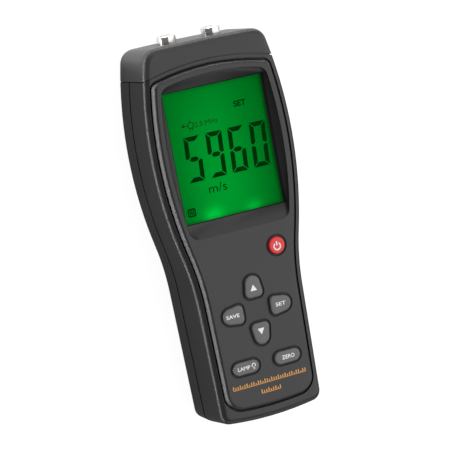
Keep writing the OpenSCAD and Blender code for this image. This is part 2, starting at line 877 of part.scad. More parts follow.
// Probe sockets, turned about their own axis with the mouth toward +Y
floor_l = socket_reach - bore_l;
tail_l = wall + shank_l;
nut_reach = socket_pitch / 2 + nut_w;
nut_seat = wall + crown_r - sqrt(crown_r * crown_r - nut_reach * nut_reach);

module along_socket(side) {
    translate([side * socket_pitch / 2, top_y, socket_z]) rotate([-90, 0, 0]) children();
}

module socket(side) {
    color("#c9cbcd")
    along_socket(side)
    difference() {
        union() {
            cylinder(d = socket_d, h = socket_reach - chamfer);
            translate([0, 0, socket_reach - chamfer])
                cylinder(d1 = socket_d, d2 = socket_d - 2 * chamfer, h = chamfer);
            translate([0, 0, -tail_l]) cylinder(d = shank_d, h = tail_l + chamfer);
        }
        translate([0, 0, floor_l]) cylinder(d = bore_d, h = bore_l + over);
        translate([0, 0, -tail_l - over]) cylinder(d = insulator_d + 2 * thread_fit, h = case_l / 2);
    }
}

module left_socket() { socket(-1); }
module right_socket() { socket(1); }

module socket_nuts() {
    color("#b4b6b8")
    for (side = [-1, 1])
        along_socket(side) translate([0, 0, -nut_seat - nut_t])
            difference() {
                cylinder(d = nut_w / cos(30), h = nut_t, $fn = 6);
                translate([0, 0, -over]) cylinder(d = shank_d + 2 * thread_fit, h = nut_t + 2 * over);
            }
}

module socket_insulators() {
    color("#efece4")
    for (side = [-1, 1])
        along_socket(side)
            difference() {
                translate([0, 0, -tail_l]) cylinder(d = insulator_d, h = tail_l + floor_l);
                translate([0, 0, -tail_l - over])
                    cylinder(d = contact_d + 2 * thread_fit, h = tail_l + 2 * over);
            }
}

module socket_contacts() {
    color("#d2a94a")
    for (side = [-1, 1])
        along_socket(side)
            translate([0, 0, -tail_l - contact_tail])
                cylinder(d = contact_d, h = tail_l + contact_tail + floor_l);
}

// Round tube through points; side gives a direction square to the path at each point
module tube(path, side, r, n) {
    m = len(path);
    rings = [for (i = [0:m - 1])
        let (t = path[min(i + 1, m - 1)] - path[max(i - 1, 0)], w = cross(t / norm(t), side[i]))
        for (j = [0:n - 1]) path[i] + r * (cos(360 * j / n) * side[i] + sin(360 * j / n) * w)];
    skin = [for (i = [0:m - 2], j = [0:n - 1]) let (k = (j + 1) % n)
        [i * n + j, i * n + k, (i + 1) * n + k, (i + 1) * n + j]];
    start = [for (j = [n - 1:-1:0]) j];
    finish = [for (j = [0:n - 1]) (m - 1) * n + j];
    polyhedron(rings, concat([start], skin, [finish]), convexity = 6);
}

// Lead from a socket's tail, bent up to the underside of the board
module lead(side) {
    x = side * socket_pitch / 2;
    start_y = top_y - tail_l - contact_tail;
    bend = lead_rise * lead_bend;
    straight = bend * lead_bend;
    steps = 6;
    path = concat(
        [[x, start_y, socket_z]],
        [for (i = [0:steps]) let (a = 90 * i / steps)
            [x, start_y - straight - bend * sin(a), socket_z + bend * (1 - cos(a))]],
        [[x, start_y - straight - bend, board_z]]
    );
    color("#8d8f92") tube(path, [for (p = path) [1, 0, 0]], lead_d / 2, 10);
}

module left_lead() { lead(-1); }
module right_lead() { lead(1); }

// Cells side by side, every second one turned end for end
module along_cell(i) {
    translate([(i - 1.5) * battery_pitch, bay_y + bay_l / 2, battery_z])
        rotate([i % 2 == 0 ? -90 : 90, 0, 0])
            translate([0, 0, -bay_l / 2])
                children();
}

module battery(i) {
    base = spring_l + fit / 2;
    color("#b98a2e")
    along_cell(i) translate([0, 0, base]) {
        cylinder(d = battery_d, h = battery_l - button_l);
        cylinder(d = button_d, h = battery_l);
    }
}

module battery_springs() {
    turns = 3;
    steps = 36;
    wide = spring_foot_d / 2;
    narrow = spring_tip_d / 2;
    radial = [for (i = [0:steps]) [cos(360 * turns * i / steps), sin(360 * turns * i / steps), 0]];
    path = [for (i = [0:steps])
        (wide + (narrow - wide) * i / steps) * radial[i]
        + [0, 0, wire_d / 2 + (spring_l - wire_d) * i / steps]];
    color("#cfd1d3")
    for (i = [0:3]) along_cell(i) tube(path, radial, wire_d / 2, 6);
}

module battery_plates() {
    color("#cfd1d3")
    for (i = [0:3])
        along_cell(i)
            translate([-plate_w / 2, -plate_w / 2, bay_l - plate_t]) cube([plate_w, plate_w, plate_t]);
}

module battery_door() {
    first_y = door_y - door_lap - grip_pitch;
    color("#303133")
    difference() {
        intersection() {
            rear_form();
            door_form(0);
        }
        for (i = [0:grip_count - 1])
            translate([0, first_y - i * grip_pitch, grip_depth - groove_r])
                rotate([0, 90, 0]) cylinder(r = groove_r, h = door_half, center = true, $fn = 24);
    }
}

// Pan headed screw driven upward, with its head's seat at the origin
module screw(d, head_d, head_h, l) {
    difference() {
        union() {
            translate([0, 0, -head_h]) cylinder(d = head_d, h = head_h);
            cylinder(d = d, h = l);
        }
        for (turn = [0, 90])
            rotate(turn) translate([-head_d / 3, -slot_w / 2, -head_h - over])
                cube([head_d / 1.5, slot_w, over + head_h / 2]);
    }
}

module case_screws() {
    color("#8f9194") {
        at(upper_screws) translate([0, 0, upper_head_z])
            screw(screw_d, head_d, head_h, rear_h + screw_bite - upper_head_z);
        at(lower_screws) translate([0, 0, lower_head_z])
            screw(screw_d, head_d, head_h, rear_h + screw_bite - lower_head_z);
    }
}

module board_screws() {
    color("#8f9194")
    at(board_screws_at) translate([0, 0, board_z])
        screw(board_screw_d, board_head_d, board_head_h, board_t + board_bite);
}

rear_shell();
front_shell();
top_cap();
front_panel();
display_window();
lcd_cell();
backlight();
display_frame();
contact_strip();
main_board();
processor();
pulse_transformer();
crystal();
capacitors();
key_switches();
keypad_mat();
power_key();
up_key();
down_key();
left_key();
right_key();
light_key();
zero_key();
left_socket();
right_socket();
socket_nuts();
socket_insulators();
socket_contacts();
left_lead();
right_lead();
battery(0);  // battery_1
battery(1);  // battery_2
battery(2);  // battery_3
battery(3);  // battery_4
battery_springs();
battery_plates();
battery_door();
case_screws();
board_screws();
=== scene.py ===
"""Looks of a handheld ultrasonic thickness gauge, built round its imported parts."""

import logging
import math
from dataclasses import dataclass, field, replace
from enum import Enum
from typing import Callable, Sequence

import bpy
from mathutils import Matrix, Vector


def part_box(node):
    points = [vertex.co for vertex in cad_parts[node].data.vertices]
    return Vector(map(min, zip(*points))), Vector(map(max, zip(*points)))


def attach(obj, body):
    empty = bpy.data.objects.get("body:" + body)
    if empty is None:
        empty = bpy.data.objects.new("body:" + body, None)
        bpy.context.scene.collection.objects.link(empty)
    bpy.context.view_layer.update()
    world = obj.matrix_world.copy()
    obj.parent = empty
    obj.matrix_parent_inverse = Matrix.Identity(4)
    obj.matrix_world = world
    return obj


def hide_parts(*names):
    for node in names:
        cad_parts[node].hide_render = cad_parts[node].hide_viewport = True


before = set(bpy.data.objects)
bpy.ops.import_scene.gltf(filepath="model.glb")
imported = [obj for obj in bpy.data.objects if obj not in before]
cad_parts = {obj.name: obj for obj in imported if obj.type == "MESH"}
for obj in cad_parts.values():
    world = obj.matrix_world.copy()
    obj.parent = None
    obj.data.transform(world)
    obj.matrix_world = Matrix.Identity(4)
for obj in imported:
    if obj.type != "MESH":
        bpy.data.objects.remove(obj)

MM = 0.001
# Height of a print over its surface and width of the window hidden by the panel, in millimetres
PRINT_T = 0.02
WINDOW_LAP = 2.0
# Depth of the relief and reach of the weld, in metres
RELIEF_DEPTH = 0.05 * MM
WELD_REACH = 0.002 * MM
# Edges sharper than this stay sharp, in degrees
SHARP = 32.0
# Waves in a metre of the cloudy shade, of the tarnish and of the tool marks
CLOUD_WAVES = 45.0
TARNISH_WAVES = 420.0
TOOL_WAVES = (300.0, 9000.0, 300.0)
# How far those clouds change the roughness
CLOUD_ROUGH = 0.14
TARNISH_ROUGH = 0.12
LOG = logging.getLogger("gauge")

Point = tuple[float, float]
Colour = tuple[float, float, float]
Shade = tuple[float, float, float, float]
Socket = bpy.types.NodeSocket
Tree = bpy.types.NodeTree
Node = bpy.types.Node
Material = bpy.types.Material
Mesh = bpy.types.Mesh
Piece = bpy.types.Object

STAIN: Shade = (0.18, 0.16, 0.13, 1.0)
WHITE: Shade = (1.0, 1.0, 1.0, 1.0)


class Body(Enum):
    """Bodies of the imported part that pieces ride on."""

    CASE = "case"
    POWER = "power_key_body"
    UP = "up_key_body"
    DOWN = "down_key_body"
    LEFT = "left_key_body"
    RIGHT = "right_key_body"
    LIGHT = "light_key_body"
    ZERO = "zero_key_body"


class Slot(Enum):
    """Material slots of the record."""

    DISPLAY = "display_glass"
    WINDOW = "window_glass"
    PANEL = "panel_plastic"
    GREY_KEY = "grey_key"
    RED_KEY = "red_key"


class Align(Enum):
    """Horizontal alignment of a line of text."""

    LEFT = "LEFT"
    CENTRE = "CENTER"


def new_group(name: str, inputs: dict[str, object]) -> Tree:
    """Make an empty shader group that gives Color, Roughness and Height.

    Args:
        name: Name of the group.
        inputs: Socket name to its value, a number or a colour.

    Returns:
        The group, with its input and output nodes named In and Out.
    """
    tree = bpy.data.node_groups.new(name, "ShaderNodeTree")
    for label, value in inputs.items():
        kind = "NodeSocketColor" if isinstance(value, tuple) else "NodeSocketFloat"
        socket = tree.interface.new_socket(label, in_out="INPUT", socket_type=kind)
        socket.default_value = value
    for label in ("Color", "Roughness", "Height"):
        kind = "NodeSocketColor" if label == "Color" else "NodeSocketFloat"
        tree.interface.new_socket(label, in_out="OUTPUT", socket_type=kind)
    tree.nodes.new("NodeGroupInput").name = "In"
    tree.nodes.new("NodeGroupOutput").name = "Out"
    return tree


@dataclass
class Wiring:
    """Short calls that add and join shader nodes in one tree."""

    tree: Tree

    def node(self, kind: str, **settings: object) -> Node:
        """Add a node.

        Args:
            kind: Type of the node.
            settings: Properties to set on it.

        Returns:
            The new node.
        """
        made = self.tree.nodes.new(kind)
        for key, value in settings.items():
            setattr(made, key, value)
        return made

    def feed(self, source: object, target: Socket) -> None:
        """Join a socket to an input, or set the input to a value.

        Args:
            source: An output socket, or a value.
            target: The input that gets it.
        """
        if isinstance(source, Socket):
            self.tree.links.new(source, target)
        else:
            target.default_value = source

    def put(self, node: Node, values: dict[str, object]) -> None:
        """Feed inputs of a node, by name, from sockets or values."""
        for key, value in values.items():
            self.feed(value, node.inputs[key])

    def math(self, operation: str, *terms: object) -> Socket:
        """Add one step of arithmetic.

        Args:
            operation: Name of the operation.
            terms: Values or sockets, in the operation's order.

        Returns:
            The result.
        """
        made = self.node("ShaderNodeMath", operation=operation)
        for term, target in zip(terms, made.inputs):
            self.feed(term, target)
        return made.outputs[0]

    def mix(self, factor: object, a: object, b: object) -> Socket:
        """Blend two colours.

        Args:
            factor: Share of the second colour.
            a: First colour or socket.
            b: Second colour or socket.

        Returns:
            The blended colour.
        """
        made = self.node("ShaderNodeMix", data_type="RGBA")
        self.feed(factor, made.inputs["Factor"])
        self.feed(a, made.inputs[6])
        self.feed(b, made.inputs[7])
        return made.outputs[2]

    def place(self) -> Socket:
        """Give the position of the point in the object's own frame."""
        return self.node("ShaderNodeTexCoord").outputs["Object"]

    def axes(self) -> Sequence[Socket]:
        """Give the object coordinates one by one.

        Returns:
            Outputs named X, Y and Z.
        """
        split = self.node("ShaderNodeSeparateXYZ")
        self.feed(self.place(), split.inputs[0])
        return split.outputs

    def seen(self, path: Node) -> Socket:
        """Give 1 for rays from the camera and through glass, by a light path node, or else 0."""
        camera, glass = path.outputs["Is Camera Ray"], path.outputs["Is Transmission Ray"]
        return self.math("MAXIMUM", camera, glass)

    def noise(self, scale: object, detail: float, where: Socket) -> Socket:
        """Add a noise texture.

        Args:
            scale: Waves in a metre.
            detail: Number of finer layers.
            where: Coordinates.

        Returns:
            The grey value of the noise.
        """
        made = self.node("ShaderNodeTexNoise")
        self.put(made, {"Scale": scale, "Detail": detail, "Vector": where})
        return made.outputs["Fac"]


def grain_group() -> Tree:
    """Make the fine mould grain that all plastics and rubbers share.

    Returns:
        Group with Color, Roughness and Height outputs.
    """
    tree = new_group(
        "Mould Grain",
        {"Color": (0.1, 0.1, 0.1, 1.0), "Roughness": 0.4, "Grain Scale": 2600.0, "Mottle": 0.12},
    )
    w = Wiring(tree)
    inside, where = tree.nodes["In"].outputs, w.place()
    cloud = w.noise(CLOUD_WAVES, 3.0, where)
    fine = w.noise(inside["Grain Scale"], 2.0, where)
    spread = w.math("SUBTRACT", cloud, 0.5)
    shade = w.math("MULTIPLY_ADD", spread, inside["Mottle"], 1.0)
    tint = w.node("ShaderNodeVectorMath", operation="SCALE")
    w.feed(inside["Color"], tint.inputs[0])
    w.feed(shade, tint.inputs["Scale"])
    rough = w.math("MULTIPLY_ADD", spread, CLOUD_ROUGH, inside["Roughness"])
    w.put(tree.nodes["Out"], {"Color": tint.outputs[0], "Roughness": rough, "Height": fine})
    return tree


def turning_group() -> Tree:
    """Make the fine tool marks and tarnish that all metals share.

    Returns:
        Group with Color, Roughness and Height outputs.
    """
    inputs = {"Color": (0.7, 0.7, 0.7, 1.0), "Roughness": 0.2, "Tarnish": 0.15}
    tree = new_group("Tool Marks", inputs)
    w = Wiring(tree)
    inside, where = tree.nodes["In"].outputs, w.place()
    cloud = w.noise(TARNISH_WAVES, 3.0, where)
    stretch = w.node("ShaderNodeVectorMath", operation="MULTIPLY")
    w.feed(where, stretch.inputs[0])
    w.feed(TOOL_WAVES, stretch.inputs[1])
    lines = w.noise(1.0, 1.0, stretch.outputs[0])
    stain = w.math("MULTIPLY", cloud, inside["Tarnish"])
    shown = w.mix(stain, inside["Color"], STAIN)
    rough = w.math("MULTIPLY_ADD", cloud, TARNISH_ROUGH, inside["Roughness"])
    w.put(tree.nodes["Out"], {"Color": shown, "Roughness": rough, "Height": lines})
    return tree


@dataclass(frozen=True)
class Finish:
    """A finish that makes one material.

    Attributes:
        name: Name of the material.
        colour: Linear base colour.
        roughness: Roughness of the surface.
    """

    name: str
    colour: Colour
    roughness: float = 0.4

    def start(self) -> tuple[Material, Wiring, Node]:
        """Make the bare material.

        Returns:
            The material, its wiring and its main shader.
        """
        made = bpy.data.materials.new(self.name)
        made.use_nodes = True
        shader = made.node_tree.nodes["Principled BSDF"]
        return made, Wiring(made.node_tree), shader

    def material(self, shop: "Workshop") -> Material:
        """Make the material with the shared groups of the workshop."""
        raise NotImplementedError

    def through(
        self, w: Wiring, shader: Node, group: Tree, bump: float, values: dict[str, float]
    ) -> None:
        """Feed the shader from a shared group.

        Args:
            w: Wiring of the material.
            shader: Main shader.
            group: Shared group.
            bump: Strength of the relief.
            values: Values of the group's other inputs, by name.
        """
        made = w.node("ShaderNodeGroup", node_tree=group)
        w.put(made, {"Color": (*self.colour, 1.0), "Roughness": self.roughness, **values})
        shown, relief = made.outputs, w.node("ShaderNodeBump")
        w.put(relief, {"Strength": bump, "Distance": RELIEF_DEPTH, "Height": shown["Height"]})
        w.put(shader, {"Base Color": shown["Color"], "Roughness": shown["Roughness"]})
        w.put(shader, {"Normal": relief.outputs["Normal"]})


@dataclass(frozen=True)
class Grained(Finish):
    """A finish with the shared mould grain.

    Attributes:
        scale: Waves of the grain in a metre.
        relief: Strength of the grain.
        mottle: Strength of the cloudy shade.
    """

    scale: float = 2600.0
    relief: float = 0.12
    mottle: float = 0.2

    def grained(self, shop: "Workshop") -> tuple[Material, Wiring, Node]:
        """Make the material with its grain.

        Args:
            shop: Holder of the shared groups.

        Returns:
            The material, its wiring and its main shader.
        """
        made, w, shader = self.start()
        values = {"Grain Scale": self.scale, "Mottle": self.mottle}
        self.through(w, shader, shop.grain, self.relief, values)
        return made, w, shader


@dataclass(frozen=True)
class Plastic(Grained):
    """Moulded plastic or rubber.

    Attributes:
        coat: Weight of a clear coat.
        coat_roughness: Roughness of that coat.
    """

    coat: float = 0.0
    coat_roughness: float = 0.15

    def material(self, shop: "Workshop") -> Material:
        """Make the material.

        Args:
            shop: Holder of the shared groups.

        Returns:
            The material.
        """
        made, w, shader = self.grained(shop)
        w.put(shader, {"Coat Weight": self.coat, "Coat Roughness": self.coat_roughness})
        return made


@dataclass(frozen=True)
class PrintedAndShadedBorder(Plastic):
    """Moulded plastic with a dark line round a rectangular opening: partly a printed border,
    partly painted shade at the foot of the recess.

    Attributes:
        low: Lower left corner of the line's outer edge, in millimetres.
        high: Upper right corner of the line's outer edge, in millimetres.
        dark: Colour of the line and of its painted shade.
    """

    low: Point = (0.0, 0.0)
    high: Point = (0.0, 0.0)
    dark: Colour = (0.002, 0.002, 0.002)

    def material(self, shop: "Workshop") -> Material:
        """Make the material.

        Args:
            shop: Holder of the shared groups.

        Returns:
            The material.
        """
        made = super().material(shop)
        w, shader = Wiring(made.node_tree), made.node_tree.nodes["Principled BSDF"]
        # Painted shade: darken and dull the plastic inside the rectangle, giving a dark band at
        # the foot of the recess round the window.
        axes = w.axes()
        inside: object = 1.0
        for axis, start, end in zip("XY", self.low, self.high):
            past = w.math("GREATER_THAN", axes[axis], start * MM)
            short = w.math("LESS_THAN", axes[axis], end * MM)
            inside = w.math("MULTIPLY", inside, w.math("MULTIPLY", past, short))
        plain, rough = shader.inputs["Base Color"].links[0], shader.inputs["Roughness"].links[0]
        shown = w.mix(inside, plain.from_socket, (*self.dark, 1.0))
        dull = w.math("MAXIMUM", rough.from_socket, inside)
        w.put(shader, {"Base Color": shown, "Roughness": dull})
        return made


@dataclass(frozen=True)
class Metal(Finish):
    """Plated or bare metal.

    Attributes:
        tarnish: Share of the surface that is dulled.
        relief: Strength of the tool marks.
    """

    tarnish: float = 0.15
    relief: float = 0.05

    def material(self, shop: "Workshop") -> Material:
        """Make the material.

        Args:
            shop: Holder of the shared groups.

        Returns:
            The material.
        """
        made, w, shader = self.start()
        self.through(w, shader, shop.marks, self.relief, {"Tarnish": self.tarnish})
        w.put(shader, {"Metallic": 1.0})
        return made


@dataclass(frozen=True)
class Laminate(Grained):
    """Circuit board under its solder mask, with the tracks showing through.

    Attributes:
        tracks: Scale of the tracks in a metre.
        track_w: Share of the board that the tracks take.
        stagger: Shift of each row of tracks against the last.
        paler: How much paler the tracks are than the board.
    """

    scale: float = 900.0
    relief: float = 0.05
    tracks: float = 90.0
    track_w: float = 0.06
    stagger: float = 0.35
    paler: float = 1.7

    def material(self, shop: "Workshop") -> Material:
        """Make the material.

        Args:
            shop: Holder of the shared groups.

        Returns:
            The material.
        """
        made, w, shader = self.grained(shop)
        tracks = w.node("ShaderNodeTexBrick", offset=self.stagger)
        w.put(tracks, {"Vector": w.place(), "Scale": self.tracks, "Mortar Size": self.track_w})
        pale = tuple(c * self.paler for c in self.colour)
        shown = w.mix(tracks.outputs["Fac"], (*self.colour, 1.0), (*pale, 1.0))
        w.put(shader, {"Base Color": shown})
        return made


@dataclass(frozen=True)
class Wrap(Grained):
    """Shrunk foil of a battery cell, with a dark band toward one end.

    Attributes:
        band: Colour of the band.
        edge: Place of the band's edge along the case, in millimetres.
        coat: Weight of the clear coat.
    """

    scale: float = 500.0
    relief: float = 0.04
    band: Colour = (0.05, 0.05, 0.055)
    edge: float = -42.0
    coat: float = 0.5

    def material(self, shop: "Workshop") -> Material:
        """Make the material.

        Args:
            shop: Holder of the shared groups.

        Returns:
            The material.
        """
        made, w, shader = self.grained(shop)
        above = w.math("GREATER_THAN", w.axes()["Y"], self.edge * MM)
        shown = w.mix(above, (*self.colour, 1.0), (*self.band, 1.0))
        w.put(shader, {"Base Color": shown, "Coat Weight": self.coat})
        return made


@dataclass(frozen=True)
class Clear(Grained):
    """Coated clear window that mirrors only at a grazing view.

    Attributes:
        graze: Share of a right angle from the face's normal at which the mirror shine starts.
    """

    scale: float = 300.0
    relief: float = 0.01
    mottle: float = 0.3
    graze: float = 0.4

    def material(self, shop: "Workshop") -> Material:
        """Make the material.

        Args:
            shop: Holder of the shared groups.

        Returns:
            The material.
        """
        made, w, shader = self.grained(shop)
        view = w.node("ShaderNodeLayerWeight")
        ramp = w.node("ShaderNodeMapRange")
        w.put(ramp, {"Value": view.outputs["Facing"], "From Min": self.graze})
        w.put(shader, {"Alpha": ramp.outputs["Result"]})
        return made


@dataclass(frozen=True)
class Lamp:
    """One soft spot of the display's backlight.

    Attributes:
        at: Middle of the spot, in millimetres.
        spread: Half width across and up, in millimetres.
        gain: Added brightness.
    """

    at: Point
    spread: Point
    gain: float


@dataclass(frozen=True)
class Glow(Finish):
    """Backlit display, brighter near its lamps.

    Attributes:
        lamps: Spots of the backlight.
        pale: Colour that the brightest spots turn to.
        foot: Place of the display's visible lower edge along the case, in millimetres.
        power: Share of the colour that the backlight gives by itself.
        cloud: Waves of the uneven light in a metre.
        uneven: Strength of the uneven light.
    """

    lamps: tuple[Lamp, ...] = ()
    pale: Colour = (0.0, 0.52, 0.045)
    foot: float = 0.0
    power: float = 0.3
    cloud: float = 60.0
    uneven: float = 0.06

    def material(self, shop: "Workshop") -> Material:
        """Make the material.

        Args:
            shop: Holder of the shared groups.

        Returns:
            The material.
        """
        made, w, shader = self.start()
        axes = w.axes()
        total: object = 0.0
        for lamp in self.lamps:
            parts = []
            spot = (lamp.at[0], self.foot + lamp.at[1])
            for axis, middle, width in zip("XY", spot, lamp.spread):
                off = w.math("SUBTRACT", axes[axis], middle * MM)
                share = w.math("DIVIDE", off, width * MM)
                parts.append(w.math("MULTIPLY", share, share))
            fall = w.math("EXPONENT", w.math("MULTIPLY", w.math("ADD", *parts), -1.0))
            total = w.math("MULTIPLY_ADD", fall, lamp.gain, total)
        level = w.math("MULTIPLY_ADD", w.noise(self.cloud, 2.0, w.place()), self.uneven, total)
        shown = w.mix(level, (*self.colour, 1.0), (*self.pale, 1.0))
        w.put(shader, {"Base Color": shown, "Emission Color": shown, "Roughness": self.roughness})
        w.put(shader, {"Emission Strength": self.power, "Specular IOR Level": 0.0})
        return made


@dataclass(frozen=True)
class Ink(Grained):
    """Printed or displayed mark.

    Attributes:
        light: Colour that the mark gives off by itself.
        sheen: Level of its mirror shine.
    """

    scale: float = 3000.0
    relief: float = 0.05
    mottle: float = 0.25
    light: Colour = (0.0, 0.0, 0.0)
    sheen: float = 0.5

    def material(self, shop: "Workshop") -> Material:
        """Make the material.

        Args:
            shop: Holder of the shared groups.

        Returns:
            The material.
        """
        made, w, shader = self.grained(shop)
        power = 1.0 if any(self.light) else 0.0
        w.put(shader, {"Specular IOR Level": self.sheen, "Emission Strength": power})
        w.put(shader, {"Emission Color": (*self.light, 1.0)})
        return made


@dataclass(frozen=True)
class Paper(Grained):
    """Studio floor that shows white, keeps its shadow and throws little light on the gauge.

    Attributes:
        lift: Light added where the floor is seen, by the camera or through glass.
        bounce: Light added where a surface mirrors the floor.
        beyond: Light added where a surface mirrors the floor past the top end.
        edge: Where that part of the floor starts and is in full, in metres.
    """

    scale: float = 200.0
    relief: float = 0.02
    mottle: float = 0.02
    lift: float = 0.92
    bounce: float = 0.05
    beyond: float = 0.95
    edge: Point = (0.082, 0.09)

    def material(self, shop: "Workshop") -> Material:
        """Make the material.

        Args:
            shop: Holder of the shared groups.

        Returns:
            The material.
        """
        made, w, shader = self.grained(shop)
        path = w.node("ShaderNodeLightPath")
        ramp = w.node("ShaderNodeMapRange")
        along, (start, end) = w.axes()["Y"], self.edge
        w.put(ramp, {"Value": along, "From Min": start, "From Max": end})
        w.put(ramp, {"To Min": self.bounce, "To Max": self.beyond})
        seen = w.math("MULTIPLY", w.seen(path), self.lift)
        mirrored = path.outputs["Is Glossy Ray"]
        shown = w.math("MULTIPLY_ADD", mirrored, ramp.outputs["Result"], seen)
        w.put(shader, {"Emission Strength": shown, "Emission Color": WHITE})
        return made


def smoothing_tree() -> Tree:
    """Make the geometry group that smooths all but sharp edges.

    Returns:
        Group with an Angle input.
    """
    tree = bpy.data.node_groups.new("Smooth Round Stretches", "GeometryNodeTree")
    sockets = (("Geometry", "INPUT"), ("Angle", "INPUT"), ("Geometry", "OUTPUT"))
    for label, way in sockets:
        kind = "NodeSocketFloat" if label == "Angle" else "NodeSocketGeometry"
        tree.interface.new_socket(label, in_out=way, socket_type=kind)
    w = Wiring(tree)
    start, end = w.node("NodeGroupInput"), w.node("NodeGroupOutput")
    faces = w.node("GeometryNodeSetShadeSmooth", domain="FACE")
    edges = w.node("GeometryNodeSetShadeSmooth", domain="EDGE")
    angle = w.node("GeometryNodeInputMeshEdgeAngle")
    sharper = w.node("FunctionNodeCompare", data_type="FLOAT", operation="GREATER_THAN")
    w.put(sharper, {"A": angle.outputs["Unsigned Angle"], "B": start.outputs["Angle"]})
    w.put(faces, {"Geometry": start.outputs["Geometry"]})
    w.put(edges, {"Geometry": faces.outputs["Geometry"], "Shade Smooth": False})
    w.put(edges, {"Selection": sharper.outputs["Result"]})
    w.put(end, {"Geometry": edges.outputs["Geometry"]})
    return tree


@dataclass
class Workshop:
    """Shared shader groups, finished materials and mesh calls.

    Attributes:
        grain: Group of the mould grain.
        marks: Group of the tool marks.
        smoother: Geometry group that smooths round stretches.
        made: Materials by name.
    """

    grain: Tree = field(default_factory=grain_group)
    marks: Tree = field(default_factory=turning_group)
    smoother: Tree = field(default_factory=smoothing_tree)
    made: dict[str, Material] = field(default_factory=dict)

    def material(self, finish: Finish) -> Material:
        """Give the material of a finish, made once.

        Args:
            finish: The finish.

        Returns:
            Its material.
        """
        if finish.name not in self.made:
            self.made[finish.name] = finish.material(self)
        return self.made[finish.name]

    def coat(self, piece: Piece, finish: Finish) -> None:
        """Give a piece the material of one finish."""
        piece.data.materials.clear()
        piece.data.materials.append(self.material(finish))

    def smooth(self, piece: Piece, angle: float = SHARP) -> None:
        """Join split corners and shade round stretches smooth.

        Args:
            piece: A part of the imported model.
            angle: Edges sharper than this, in degrees, stay sharp.
        """
        normals = piece.data.attributes.get("custom_normal")
        if normals:
            piece.data.attributes.remove(normals)
        weld = piece.modifiers.new("Weld", "WELD")
        weld.merge_threshold = WELD_REACH
        by_angle = piece.modifiers.new("Smooth", "NODES")
        by_angle.node_group = self.smoother
        by_angle[self.smoother.interface.items_tree["Angle"].identifier] = math.radians(angle)
        weighted = piece.modifiers.new("Weighted", "WEIGHTED_NORMAL")
        weighted.keep_sharp = True

    def dress(self, nodes: Sequence[str], finish: Finish, angle: float = SHARP) -> None:
        """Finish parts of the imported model.

        Args:
            nodes: Names of the parts.
            finish: Their finish.
            angle: Edges sharper than this, in degrees, stay sharp.
        """
        for name in nodes:
            self.coat(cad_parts[name], finish)
            self.smooth(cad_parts[name], angle)

    def piece(self, name: str, mesh: Mesh, finish: Finish, body: Body, slot: Slot) -> Piece:
        """Put a made mesh into the scene on a body.

        Args:
            name: Name of the piece.
            mesh: Its mesh, in metres in the shared frame.
            finish: Its finish.
            body: Body that it rides on.
            slot: Slot of the record for this piece; not used.

        Returns:
            The new piece.
        """
        made = bpy.data.objects.new(name, mesh)
        bpy.context.scene.collection.objects.link(made)
        self.coat(made, finish)
        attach(made, body.value)
        LOG.info("%s: %d faces", name, len(mesh.polygons))
        return made


def span(node: str) -> tuple[list[float], list[float]]:
    """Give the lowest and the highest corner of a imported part, in millimetres."""
    low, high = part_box(node)
    return [v / MM for v in low], [v / MM for v in high]


